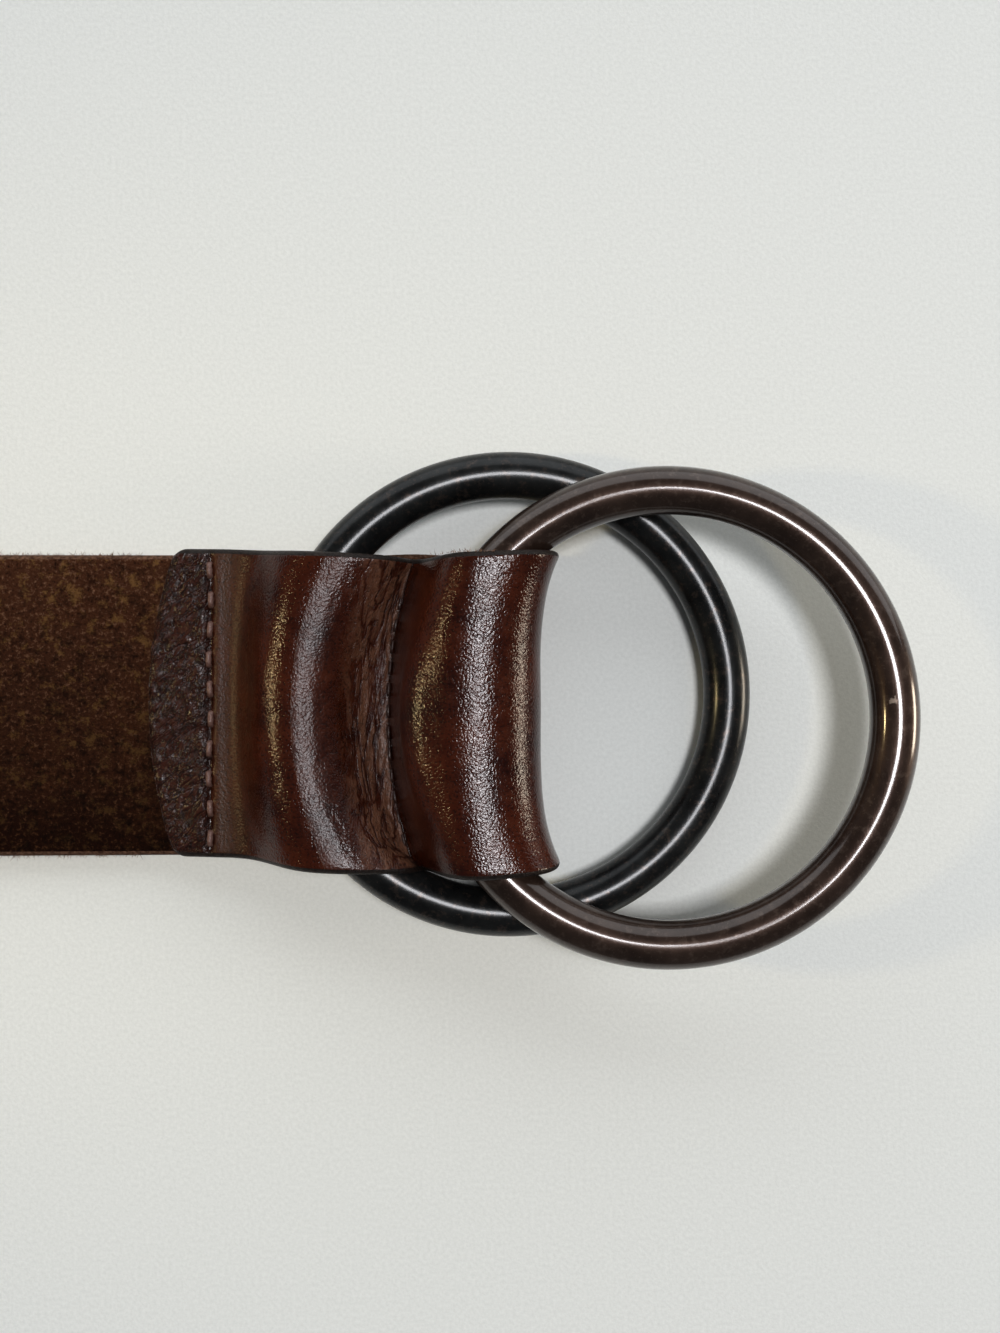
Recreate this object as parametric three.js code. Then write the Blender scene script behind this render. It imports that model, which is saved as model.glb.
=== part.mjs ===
import * as THREE from 'three';

// Double ring belt lying flat on z = 0, in millimetres.
// The strap runs along X with its rings at the +X end. Positions along X are taken
// from the centre of ring 1 until the whole belt is centred at the end of the file.

// Leather sizes. At a rounded edge the share edgeThin of the thickness is left.
const strapWidth = 50;
const strapThickness = 3;
const strapLength = 950;
const tipLength = 16;
const flapThickness = 2.2;
const flapEndThickness = 1.2;
const flapExtraWidth = 0.8;
const edgeRound = 0.9;
const edgeThin = 0.4;

// Ring sizes
const wireRadius = 3.85;
const ringPlay = 7.15;
const ringSpacing = 24;
const ringStagger = 3.6;
const ringTwoRise = THREE.MathUtils.degToRad(4);
const ringTwoLean = THREE.MathUtils.degToRad(-1.1);

// How the flap lies
const gap = 0.3;
const loftAllowance = 0.1;
const endSeamFromRing = 9.75;
const endBandEdge = 5.4;
const endBow = 5;
const endCorner = 3;
const foldSlack = 0.4;
const foldDraw = 3.4;
const seamPinch = 3;
const pinchShare = 0.85;
const seamFillet = 3.4;
const endFillet = 4;
const endFilletLeft = 1;
const flapShiftAtFold = -0.9;
const flapShiftAtEnd = 0.7;

// Middle seam: share of the way from the wire of ring 1 to the wire of ring 2
const seamShareMiddle = 0.67;
const seamShareEdge = 0.41;

// Share of the fold's depth, from the crest to the bend, that lies level on top
const foldLevelShare = 0.35;

// Share of the end band that is flat, before its edge is rounded off
const bandShareFlat = 0.95;

// Steps of the loft
const steps = {
  tip: 3, straight: 4, channel: 4, pinch: 8, bend: 2, fold: 14, crest: 6, seam: 6, hump: 10, end: 5, band: 5,
};
const acrossShares = [0, 0.2, 0.4, 0.58, 0.74, 0.88];
const ringSides = 12;
const ringSegments = 56;

const halfWidth = strapWidth / 2;
const ringRadius = halfWidth + ringPlay + wireRadius;
const lerp = THREE.MathUtils.lerp;

// A ring is its centre and the turn that lays its axis from Z to where it leans.
function placeRing(x, y, z, rise, lean) {
  const turn = new THREE.Euler(lean, -rise, 0);
  return { centre: new THREE.Vector3(x, y, z), turn };
}

function wirePoint(ring, angle) {
  const point = new THREE.Vector3(Math.cos(angle), Math.sin(angle), 0);
  return point.multiplyScalar(ringRadius).applyEuler(ring.turn).add(ring.centre);
}

// Distance from a point to the middle line of a ring's wire
function distanceToWire(ring, point) {
  const back = new THREE.Quaternion().setFromEuler(ring.turn).invert();
  const local = point.clone().sub(ring.centre).applyQuaternion(back);
  return Math.hypot(Math.hypot(local.x, local.y) - ringRadius, local.z);
}

// Ring 1 touches the ground at its far end and lies on the strap's edges near the fold.
function placeRingOne() {
  const reach = halfWidth + ringStagger / 2;
  const support = Math.sqrt(ringRadius ** 2 - reach ** 2);
  const tilt = Math.asin((strapThickness + gap) / (ringRadius + support));
  const height = wireRadius + ringRadius * Math.sin(tilt);
  return placeRing(0, ringStagger / 2, height, -tilt, 0);
}

// Ring 2 is lowered until its wire is one gap above the wire of ring 1.
function placeRingTwo(ringOne) {
  const at = (height) => placeRing(ringSpacing, -ringStagger / 2, height, ringTwoRise, ringTwoLean);
  const clearance = (ring) => {
    let least = Infinity;
    for (let step = 0; step < 720; step += 1) {
      const point = wirePoint(ring, (step / 720) * Math.PI * 2);
      least = Math.min(least, distanceToWire(ringOne, point));
    }
    return least;
  };
  let low = ringOne.centre.z;
  let high = low + 4 * wireRadius + ringRadius * Math.sin(ringTwoRise);
  for (let round = 0; round < 30; round += 1) {
    const middle = (low + high) / 2;
    if (clearance(at(middle)) < 2 * wireRadius + gap) low = middle;
    else high = middle;
  }
  return at(high);
}

const ringOne = placeRingOne();
const ringTwo = placeRingTwo(ringOne);

// Section of a ring's wire, on the strap's side of the ring, cut at one y.
// The cut is slanted, so it reaches further inwards than outwards from its middle.
function wireSection(ring, y) {
  const across = y - ring.centre.y;
  const reach = (radius) => Math.sqrt(radius ** 2 - across ** 2);
  const middle = wirePoint(ring, Math.PI - Math.asin(across / ringRadius));
  const outward = reach(ringRadius + wireRadius) - reach(ringRadius);
  const inward = reach(ringRadius) - reach(ringRadius - wireRadius);
  return { x: middle.x, z: middle.z, outward, inward, height: wireRadius };
}

// The oval that the middle of a leather layer follows round a wire
function wrapOval(section, thickness) {
  const offset = gap + loftAllowance + thickness / 2;
  return {
    x: section.x,
    z: section.z,
    outward: section.outward + offset,
    inward: section.inward + offset,
    height: section.height + offset,
  };
}

function ovalPoint(oval, angle) {
  const cosine = Math.cos(angle);
  const width = cosine > 0 ? oval.inward : oval.outward;
  return { x: oval.x + width * cosine, z: oval.z + oval.height * Math.sin(angle) };
}

// Angle on the oval where a line from a lower point beside it touches its upper side
function touchAngle(oval, point) {
  const right = point.x > oval.x;
  const u = (point.x - oval.x) / (right ? oval.inward : oval.outward);
  const w = (point.z - oval.z) / oval.height;
  const turn = Math.acos(1 / Math.hypot(u, w));
  const angle = Math.atan2(w, u) + (right ? turn : -turn);
  return angle < -Math.PI / 2 ? angle + 2 * Math.PI : angle;
}

function towards(from, to, length) {
  const share = length / Math.hypot(to.x - from.x, to.z - from.z);
  return { x: lerp(from.x, to.x, share), z: lerp(from.z, to.z, share) };
}

// Rounded corner: a quadratic curve between two points near the corner
function cornerCurve(before, corner, after, count) {
  const points = [];
  for (let step = 0; step <= count; step += 1) {
    const t = step / count;
    const weights = [(1 - t) ** 2, 2 * t * (1 - t), t ** 2];
    points.push({
      x: weights[0] * before.x + weights[1] * corner.x + weights[2] * after.x,
      z: weights[0] * before.z + weights[1] * corner.z + weights[2] * after.z,
    });
  }
  return points;
}

function flapY(v, shift) {
  return v * (halfWidth + flapExtraWidth / 2) + shift;
}

const endSeamX = ringOne.centre.x - ringRadius - wireRadius - endSeamFromRing;

// Outline of the flap's end in plan: bowed, with small round corners
function flapEndX(v) {
  const bow = endBow * (1 - v ** 2);
  const inset = Math.max(0, Math.abs(v) * halfWidth - (halfWidth - endCorner));
  return endSeamX - endBandEdge - bow + endCorner - Math.sqrt(endCorner ** 2 - inset ** 2);
}

// Outermost X of the fold: it flares at the strap's edges, where the ring holds it open
const foldWire = wireSection(ringTwo, flapY(1, flapShiftAtFold));
const foldEdgeX = foldWire.x + foldWire.inward + gap + flapThickness + foldSlack;

function foldX(v) {
  return foldEdgeX - foldDraw * (1 - v ** 4);
}

function tipX(v) {
  return foldX(0) - strapLength + tipLength * (1 - Math.sqrt(1 - v ** 2));
}

// Where the leather lies at one share v of the width: over each ring, at the seam and at the fold
function leatherSection(v) {
  const lowY = v * halfWidth;
  const crestY = flapY(v, flapShiftAtFold);
  const humpY = flapY(v, (flapShiftAtFold + flapShiftAtEnd) / 2);
  const endY = flapY(v, flapShiftAtEnd);
  const crest = wrapOval(wireSection(ringTwo, crestY), flapThickness);
  const hump = wrapOval(wireSection(ringOne, humpY), flapThickness);
  const seamX = lerp(hump.x, crest.x, lerp(seamShareMiddle, seamShareEdge, v ** 2));
  const bendX = foldX(v) - flapThickness / 2;
  const foldMiddleX = lerp(crest.x, bendX, foldLevelShare);
  const pinchReach = pinchShare * Math.min(seamX - hump.x, crest.x - seamX);
  return { v, lowY, crestY, humpY, endY, crest, hump, seamX, bendX, foldMiddleX, pinchReach };
}

// How far the lower layer is drawn up to the middle seam, near the strap's edges
function lowerLift(section, x) {
  const away = Math.min(1, Math.abs(x - section.seamX) / section.pinchReach);
  return seamPinch * section.v ** 4 * Math.cos((away * Math.PI) / 2) ** 2;
}

// Lower layer: rounded tip, long straight and the channel under the rings
function lowerPath(section) {
  const { v, lowY, seamX, pinchReach } = section;
  const lowZ = strapThickness / 2;
  const tip = tipX(v);
  const stretches = [
    { to: tipX(0) + 2 * tipLength, count: steps.tip },
    { to: flapEndX(0), count: steps.straight },
    { to: seamX - pinchReach, count: steps.channel },
    { to: seamX + pinchReach, count: steps.pinch },
    { to: section.foldMiddleX, count: steps.bend },
  ];
  const path = [{ x: tip, y: lowY, z: lowZ, thickness: strapThickness * edgeThin }];
  path.push({ x: tip + edgeRound, y: lowY, z: lowZ, thickness: strapThickness });
  let from = tip + edgeRound;
  stretches.forEach(({ to, count }) => {
    for (let step = 1; step <= count; step += 1) {
      const x = lerp(from, to, step / count);
      path.push({ x, y: lowY, z: lowZ + lowerLift(section, x), thickness: strapThickness });
    }
    from = to;
  });
  return path;
}

// Fold: half an oval from the lower layer up to the level of the crest over ring 2
function foldPath(section) {
  const { lowY, crestY, crest, bendX, foldMiddleX } = section;
  const path = [];
  for (let step = 1; step <= steps.fold; step += 1) {
    const share = step / steps.fold;
    const angle = (share - 0.5) * Math.PI;
    path.push({
      x: foldMiddleX + (bendX - foldMiddleX) * Math.cos(angle),
      y: lerp(lowY, crestY, share),
      z: lerp(strapThickness / 2, crest.z + crest.height, (1 + Math.sin(angle)) / 2),
      thickness: lerp(strapThickness, flapThickness, Math.min(1, 2 * share)),
    });
  }
  return path;
}

// Middle seam: its corner is lowered until its rounded bottom meets the lower layer
function seamCurve(section) {
  const { crest, hump, seamX } = section;
  const clear = gap + loftAllowance + flapThickness / 2;
  const floor = strapThickness + lowerLift(section, seamX) + clear;
  const corner = { x: seamX, z: floor };
  const curve = { points: [], crestTouch: 0, humpTouch: 0 };
  for (let round = 0; round < 4; round += 1) {
    curve.crestTouch = touchAngle(crest, corner);
    curve.humpTouch = touchAngle(hump, corner);
    const before = towards(corner, ovalPoint(crest, curve.crestTouch), seamFillet);
    const after = towards(corner, ovalPoint(hump, curve.humpTouch), seamFillet);
    curve.points = cornerCurve(before, corner, after, steps.seam);
    corner.z += floor - Math.min(...curve.points.map((point) => point.z));
  }
  return curve;
}

// Points on an oval from one angle to another
function ovalArc(oval, from, to, count) {
  const points = [];
  for (let step = 0; step <= count; step += 1) {
    points.push(ovalPoint(oval, lerp(from, to, step / count)));
  }
  return points;
}

// Flap: over ring 2, down to the middle seam, over ring 1 and down to the end seam
function flapPath(section) {
  const { crest, hump, crestY, humpY, endY } = section;
  const seam = seamCurve(section);
  const footX = endSeamX - endFilletLeft + endFillet;
  const foot = { x: footX, z: strapThickness + gap + flapThickness / 2 };
  const footTouch = touchAngle(hump, foot);
  const before = towards(foot, ovalPoint(hump, footTouch), endFillet);
  const after = { x: foot.x - endFillet, z: foot.z };
  const stretches = [
    { y: crestY, points: ovalArc(crest, Math.PI / 2, seam.crestTouch, steps.crest) },
    { y: humpY, points: seam.points },
    { y: humpY, points: ovalArc(hump, seam.humpTouch, footTouch, steps.hump) },
    { y: endY, points: cornerCurve(before, foot, after, steps.end) },
  ];
  const thickness = flapThickness;
  return stretches.flatMap(({ y, points }) => points.map(({ x, z }) => ({ x, y, z, thickness })));
}

// End band, thinned towards its edge and rounded off there
function endPath(section) {
  const { v, endY: y } = section;
  const startX = endSeamX - endFilletLeft;
  const lastX = flapEndX(v);
  const low = strapThickness + gap;
  const path = [];
  for (let step = 1; step <= steps.band; step += 1) {
    const share = step / steps.band;
    const thickness = lerp(flapThickness, flapEndThickness, share);
    path.push({ x: lerp(startX, lastX, share * bandShareFlat), y, z: low + thickness / 2, thickness });
  }
  path.push({ x: lastX, y, z: low + flapEndThickness / 2, thickness: flapEndThickness * edgeThin });
  return path;
}

// Path of the leather's middle from the tip to the flap's end
function leatherPath(v) {
  const section = leatherSection(v);
  return [...lowerPath(section), ...foldPath(section), ...flapPath(section), ...endPath(section)];
}

// Two skins of the leather at one share of the width: each is half a thickness from the path
function leatherSkins(v, edgeShare) {
  const path = leatherPath(v);
  const outer = [];
  const inner = [];
  path.forEach((point, index) => {
    const before = path[Math.max(0, index - 1)];
    const after = path[Math.min(path.length - 1, index + 1)];
    const length = Math.hypot(after.x - before.x, after.z - before.z);
    const offset = (point.thickness * edgeShare) / 2 / length;
    const across = { x: (after.z - before.z) * offset, z: (before.x - after.x) * offset };
    outer.push([point.x + across.x, point.y, point.z + across.z]);
    inner.push([point.x - across.x, point.y, point.z - across.z]);
  });
  return { outer, inner };
}

// Closed body between two grids of points that share their borders' order
function skinBody(rows) {
  const across = rows.length;
  const along = rows[0].outer.length;
  const vertices = [];
  rows.forEach((row) => row.outer.forEach((point) => vertices.push(...point)));
  rows.forEach((row) => row.inner.forEach((point) => vertices.push(...point)));
  const outer = (i, j) => i * along + j;
  const inner = (i, j) => (across + i) * along + j;
  const triangles = [];
  const quad = (a, b, c, d) => triangles.push(a, b, c, a, c, d);
  for (let i = 0; i < across - 1; i += 1) {
    for (let j = 0; j < along - 1; j += 1) {
      quad(outer(i, j), outer(i + 1, j), outer(i + 1, j + 1), outer(i, j + 1));
      quad(inner(i, j), inner(i, j + 1), inner(i + 1, j + 1), inner(i + 1, j));
    }
    quad(inner(i, 0), inner(i + 1, 0), outer(i + 1, 0), outer(i, 0));
    quad(outer(i, along - 1), outer(i + 1, along - 1), inner(i + 1, along - 1), inner(i, along - 1));
  }
  for (let j = 0; j < along - 1; j += 1) {
    quad(outer(0, j), outer(0, j + 1), inner(0, j + 1), inner(0, j));
    quad(inner(across - 1, j), inner(across - 1, j + 1), outer(across - 1, j + 1), outer(across - 1, j));
  }
  const geometry = new THREE.BufferGeometry();
  geometry.setAttribute('position', new THREE.Float32BufferAttribute(vertices, 3));
  geometry.setIndex(triangles);
  geometry.computeVertexNormals();
  return geometry;
}

// Shares of the half width where the leather is cut, the last two forming its rounded edge
function acrossStations() {
  const half = [...acrossShares, 1 - edgeRound / halfWidth, 1];
  const left = half.slice(1).reverse().map((share) => -share);
  return [...left, ...half];
}

function makeStrap() {
  const rows = acrossStations().map((v) => leatherSkins(v, Math.abs(v) === 1 ? edgeThin : 1));
  const material = new THREE.MeshStandardMaterial({ color: 0x4a2418, roughness: 0.55, metalness: 0 });
  const mesh = new THREE.Mesh(skinBody(rows), material);
  mesh.name = 'strap';
  return mesh;
}

function makeRing(name, ring, color) {
  const geometry = new THREE.TorusGeometry(ringRadius, wireRadius, ringSides, ringSegments);
  const material = new THREE.MeshStandardMaterial({ color, roughness: 0.3, metalness: 1 });
  const mesh = new THREE.Mesh(geometry, material);
  mesh.name = name;
  mesh.position.copy(ring.centre);
  mesh.rotation.copy(ring.turn);
  return mesh;
}

const belt = new THREE.Group();
belt.add(makeStrap());
belt.add(makeRing('ring_1', ringOne, 0x24262a));
belt.add(makeRing('ring_2', ringTwo, 0x3a2a24));

// The origin is the middle of the belt's box, on the ground.
const farX = ringTwo.centre.x + ringRadius * Math.cos(ringTwoRise) + wireRadius;
belt.position.x = -(tipX(0) + farX) / 2;

export default belt;
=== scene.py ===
"""Double ring belt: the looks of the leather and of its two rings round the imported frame."""
import math

import bpy
import numpy as np
from mathutils import Euler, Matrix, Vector


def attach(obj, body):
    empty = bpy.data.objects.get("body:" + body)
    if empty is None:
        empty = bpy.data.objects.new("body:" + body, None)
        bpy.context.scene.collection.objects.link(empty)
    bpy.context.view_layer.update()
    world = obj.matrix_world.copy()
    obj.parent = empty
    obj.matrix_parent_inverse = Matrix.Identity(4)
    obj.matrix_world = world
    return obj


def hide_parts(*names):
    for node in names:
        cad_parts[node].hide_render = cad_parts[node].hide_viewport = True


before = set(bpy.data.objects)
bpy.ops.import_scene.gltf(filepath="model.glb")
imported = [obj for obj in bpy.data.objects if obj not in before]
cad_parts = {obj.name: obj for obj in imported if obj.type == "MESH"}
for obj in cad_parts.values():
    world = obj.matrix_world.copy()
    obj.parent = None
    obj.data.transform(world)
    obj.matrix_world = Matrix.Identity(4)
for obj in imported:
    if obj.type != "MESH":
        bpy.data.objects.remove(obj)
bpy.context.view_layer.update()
MM = 0.001


# The rings' places, read from the frame, in millimetres

FIT_ROUNDS = 3


class Ring:
    """A ring's centre, axis, radius of its middle line and radius of its wire."""

    def __init__(self, node):
        points = np.array([v.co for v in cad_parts[node].data.vertices]) / MM
        self.centre = (points.min(0) + points.max(0)) / 2
        for _ in range(FIT_ROUNDS):
            away = points - self.centre
            self.axis = np.linalg.eigh(away.T @ away)[1][:, 0]
            self.axis *= np.sign(self.axis[2])
            height = away @ self.axis
            radial = np.linalg.norm(away - np.outer(height, self.axis), axis=1)
            self.centre = self.centre + self.axis * (height.min() + height.max()) / 2
        self.radius = (radial.min() + radial.max()) / 2
        self.wire = (radial.max() - radial.min()) / 2

    def section(self, y):
        """Middle and half widths of the wire cut at y, on the strap's side of the ring."""
        across = y - self.centre[1]
        middle = np.sqrt(self.radius ** 2 - across ** 2)
        x = self.centre[0] - middle
        slope = (self.axis[0] * middle - self.axis[1] * across) / self.axis[2]
        outward = np.sqrt((self.radius + self.wire) ** 2 - across ** 2) - middle
        inward = middle - np.sqrt((self.radius - self.wire) ** 2 - across ** 2)
        return x, self.centre[2] + slope, outward, inward


ring_one = Ring("ring_1")
ring_two = Ring("ring_2")
X0 = ring_one.centre[0]
WIRE = ring_one.wire

# Leather sizes in millimetres. Positions along X are from the centre of ring 1.
STRAP_HALF = 25.0
FLAP_HALF = 25.4
STRAP_THICK = 3.0
FLAP_THICK = 2.2
END_THICK = 1.2
CLEAR = 0.3
OVER_WIRE = CLEAR + FLAP_THICK / 2
LOW_Z = STRAP_THICK / 2
STRAP_LENGTH = 950.0
TIP_LENGTH = 16.0
TIP_ROUND = 1.2
EDGE_ROUND = 1.1

# Lowest values that keep the cut edges, the flap's end and the reach from a wire above nothing
EDGE_LEAST = 0.01
END_LEAST = 0.004
REACH_LEAST = 0.2

# Seams, fold, crest over ring 2, hump over ring 1 and the foot behind it
END_SEAM_X = -49.6
END_BAND = 6.0
END_BOW = 4.3
END_CORNER = 2.0
FOOT_X = END_SEAM_X + 2.6
FOLD_EDGE_X = 8.0
FOLD_DRAW = 3.4
CREST_X = -6.9
CREST_DRIFT = 1.7
HUMP_X = -34.9
HUMP_DRIFT = 5.8
SEAM_X = -20.2
SEAM_DRIFT = 4.0
SEAM_POWER = 2.2
SEAM_PINCH = 1.8
PINCH_REACH = 6.0
SEAM_SLOPE = 0.06
CHANNEL_BEFORE_FLAP = 6.0

# Stitches, in millimetres along their seams
STITCH_PITCH = 4.9
STITCH_START = -21.9
STITCH_COUNT = 10
STITCH_WAVER = 0.25
STITCH_WAVER_TURN = 1.7
MIDDLE_PITCH = STITCH_PITCH * 0.72
MIDDLE_SEAM_HALF = 22.5
MIDDLE_SEAM_BACK = 0.1
MIDDLE_SEAM_SHIFT = -1.5

# Sideways shift of the flap at places along X, and of its middle over each ring
SHIFT_PLACES = (-56.0, -44.0, -34.0, -20.0, -6.0, 8.0)
SHIFTS = (0.45, 0.25, -0.9, -1.5, -1.6, -1.3)
SHIFT_SAMPLES = 200
SHIFT_WINDOW = 41
RING_ONE_SHIFT = -0.6
RING_TWO_SHIFT = -1.6

# Height over the rings in millimetres, and curve handles as shares of the stretch that they shape.
# Each pair is for the middle of the width and for its edges.
CREST_LIFT = (1.3, 1.9)
HUMP_LIFT = (0.3, 0.7)
FOLD_RISE = (0.62, 0.9)
FOLD_TOP = (0.56, 0.66)
CREST_HANDLES = ((0.92, 0.6), (0.2, 0.42))
HUMP_HANDLES = ((0.42, 0.16), (0.47, 0.88))
FOOT_HANDLES = ((0.57, 0.5), (0.45, 0.5))

# The bend from the strap into the fold: its start as a share of the way from the crest to the fold,
# its end as a share of the crest's height, its handles along and up, and the width where it ends
BEND_START = 0.42
BEND_HEIGHT = 0.45
BEND_HANDLES = (0.6, 0.42)
BEND_LOW = 0.5

# Stretches of the leather, from the strap's tip to the flap's end, and their rows of points
STRAIGHT, CHANNEL, BEND, FOLD, CREST, HUMP, FOOT, BAND = range(8)
STEPS = {CHANNEL: 50, BEND: 20, FOLD: 36, CREST: 54, HUMP: 60, FOOT: 44, BAND: 46}
TIP_STEPS = 16
STRAIGHT_STEPS = 46
TIP_PLACES = np.array([0, 0.25, 0.6, 1])
TIP_DEPTHS = np.array([0.03, 0.3, 0.65, 1])
ACROSS = 106
EDGE_STEPS = 7
BLUR_WIDTH = 9


def lerp(a, b, t):
    return a + (b - a) * t


def smooth(t):
    t = np.clip(t, 0, 1)
    return t * t * (3 - 2 * t)


def bezier(a, b, c, d, t):
    return (1 - t) ** 3 * a + 3 * t * (1 - t) ** 2 * b + 3 * t ** 2 * (1 - t) * c + t ** 3 * d


def rounded(depth, least=0.0):
    """Share of the full thickness at a share of a round edge's depth."""
    return np.sqrt(np.clip(1 - (1 - depth) ** 2, least, 1))


def flap_shift(x):
    """Smooth sideways shift of the flap at one X."""
    fine = np.linspace(SHIFT_PLACES[0], SHIFT_PLACES[-1], SHIFT_SAMPLES)
    values = np.interp(fine, SHIFT_PLACES, SHIFTS)
    window = np.hanning(SHIFT_WINDOW)
    padded = np.pad(values, SHIFT_WINDOW // 2, mode="edge")
    return np.interp(x, fine, np.convolve(padded, window / window.sum(), mode="valid"))


# Places along X at a share v of the half width

def flap_end_x(v):
    inset = np.maximum(0, np.abs(v) * STRAP_HALF - (STRAP_HALF - END_CORNER))
    corner = END_CORNER - np.sqrt(np.maximum(0, END_CORNER ** 2 - inset ** 2))
    return END_SEAM_X - END_BAND - END_BOW * (1 - v ** 2) + corner


def fold_x(v):
    return FOLD_EDGE_X - FOLD_DRAW * (1 - v ** 4)


def tip_x(v):
    return fold_x(0) - STRAP_LENGTH + TIP_LENGTH * (1 - np.sqrt(np.maximum(0, 1 - v ** 2)))


def seam_x(v):
    return SEAM_X + SEAM_DRIFT * np.abs(v) ** SEAM_POWER


def crest_x(v):
    return CREST_X + CREST_DRIFT * v ** 2


def hump_x(v):
    return HUMP_X + HUMP_DRIFT * v ** 2


def seam_pinch(v):
    """Height by which the middle seam draws the strap's edges up."""
    return SEAM_PINCH * v ** 4


class Path:
    """Points of the leather's middle at one share of the width, gathered stretch by stretch.

    Low is 1 where the leather is as wide as the strap, and 0 where it is as wide as the flap.
    """

    def __init__(self):
        self.parts = []

    def add(self, zone, x, z, thickness, low):
        self.parts.append([np.broadcast_to(value, len(x)) for value in (zone, x, z, thickness, low)])

    def bend(self, zone, points, thickness=(FLAP_THICK, FLAP_THICK), low=(0, 0)):
        """Adds a cubic curve given by four points, with the thickness and width at its two ends."""
        t = np.arange(1, STEPS[zone] + 1) / STEPS[zone]
        xs, zs = zip(*points)
        self.add(zone, bezier(*xs, t), bezier(*zs, t), lerp(*thickness, t), lerp(*low, t))

    def arrays(self):
        return [np.concatenate(values).astype(float) for values in zip(*self.parts)]


def add_strap(path, v, start_x):
    """The strap from its round tip to the bend, pinched up where the middle seam crosses it."""
    tip = tip_x(v)
    first = tip_x(0) + 2 * TIP_LENGTH
    flap_start = flap_end_x(0) - CHANNEL_BEFORE_FLAP
    tip_z = np.full(len(TIP_PLACES), LOW_Z)
    path.add(STRAIGHT, tip + TIP_PLACES * TIP_ROUND, tip_z, STRAP_THICK * rounded(TIP_DEPTHS), 1)
    for zone, a, b, count in (
        (STRAIGHT, tip + TIP_ROUND, first, TIP_STEPS),
        (STRAIGHT, first, flap_start, STRAIGHT_STEPS),
        (CHANNEL, flap_start, start_x, STEPS[CHANNEL]),
    ):
        x = lerp(a, b, np.arange(1, count + 1) / count)
        lift = 0
        if zone == CHANNEL:
            away = np.clip(np.abs(x - seam_x(v)) / PINCH_REACH, 0, 1)
            lift = seam_pinch(v) * np.cos(away * math.pi / 2) ** 2
        path.add(zone, x, LOW_Z + lift, STRAP_THICK, 1)


def arch(v, start, end, handles, slope=0.0):
    """Four points of a curve that leaves one place with a slope and comes level to the next."""
    (x, z), (end_x, end_z) = start, end
    span = x - end_x
    first, last = (lerp(*pair, v ** 2) for pair in handles)
    return start, (x - first * span, z + slope * span), (end_x + last * span, end_z), end


def add_flap(path, v, start_x, bend_x):
    """The fold round ring 2, the crest over it, the middle seam and the hump over ring 1."""
    crest_z = ring_two.section(RING_TWO_SHIFT)[1] + WIRE + OVER_WIRE + lerp(*CREST_LIFT, v ** 2)
    hump_z = ring_one.section(RING_ONE_SHIFT)[1] + WIRE + OVER_WIRE + lerp(*HUMP_LIFT, v ** 2)
    seam_z = STRAP_THICK + seam_pinch(v) + CLEAR + FLAP_THICK / 2
    bend_z = lerp(LOW_Z, crest_z, BEND_HEIGHT)
    crest = (crest_x(v), crest_z)
    seam = (seam_x(v), seam_z)
    hump = (hump_x(v), hump_z)
    foot = (FOOT_X, STRAP_THICK + OVER_WIRE)

    along, up = BEND_HANDLES
    path.bend(BEND, ((start_x, LOW_Z), (lerp(start_x, bend_x, along), LOW_Z),
                     (bend_x, LOW_Z + up * (bend_z - LOW_Z)), (bend_x, bend_z)),
              (STRAP_THICK, FLAP_THICK), (1, BEND_LOW))
    rise = lerp(*FOLD_RISE, v ** 2) * (crest_z - bend_z)
    depth = lerp(*FOLD_TOP, v ** 2) * (bend_x - crest[0])
    path.bend(FOLD, ((bend_x, bend_z), (bend_x, bend_z + rise), (crest[0] + depth, crest_z), crest),
              low=(BEND_LOW, 0))
    path.bend(CREST, arch(v, crest, seam, CREST_HANDLES))
    path.bend(HUMP, arch(v, seam, hump, HUMP_HANDLES, SEAM_SLOPE))
    path.bend(FOOT, arch(v, hump, foot, FOOT_HANDLES))


def add_end_band(path, v):
    """The flat end band, thinned towards its round edge."""
    last = flap_end_x(v)
    x = lerp(FOOT_X, last, np.arange(1, STEPS[BAND] + 1) / STEPS[BAND])
    thin = lerp(FLAP_THICK, END_THICK, smooth((FOOT_X - x) / (FOOT_X - last)))
    edge = rounded(np.clip((x - last) / EDGE_ROUND, 0, 1), END_LEAST)
    path.add(BAND, x, STRAP_THICK + CLEAR + thin / 2, thin * edge, 0)


def pushed_clear(wire, x, z, thickness):
    """Moves the leather's middle away from a wire wherever it would touch the wire."""
    wire_x, wire_z, outward, inward = wire
    wire_x = wire_x - X0
    offset = CLEAR + thickness / 2
    width = np.where(x > wire_x, inward, outward) + offset
    height = WIRE + offset
    u, w = (x - wire_x) / width, (z - wire_z) / height
    reach = np.hypot(u, w)
    grow = np.where(reach < 1, 1 / np.maximum(reach, REACH_LEAST), 1)
    return wire_x + u * grow * width, wire_z + w * grow * height


def leather_path(v):
    """The leather's middle at one share of the width: strap, fold, flap over both rings, end band."""
    bend_x = fold_x(v) - FLAP_THICK / 2
    start_x = lerp(crest_x(v), bend_x, BEND_START)
    path = Path()
    add_strap(path, v, start_x)
    add_flap(path, v, start_x, bend_x)
    add_end_band(path, v)

    zone, x, z, thickness, low = path.arrays()
    flap = zone >= BEND
    for ring, shift in ((ring_one, RING_ONE_SHIFT), (ring_two, RING_TWO_SHIFT)):
        moved_x, moved_z = pushed_clear(ring.section(v * FLAP_HALF + shift), x, z, thickness)
        x, z = np.where(flap, moved_x, x), np.where(flap, moved_z, z)
    y = v * lerp(FLAP_HALF, STRAP_HALF, low) + flap_shift(x) * (1 - low)
    return zone, x, y, z, thickness


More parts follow.
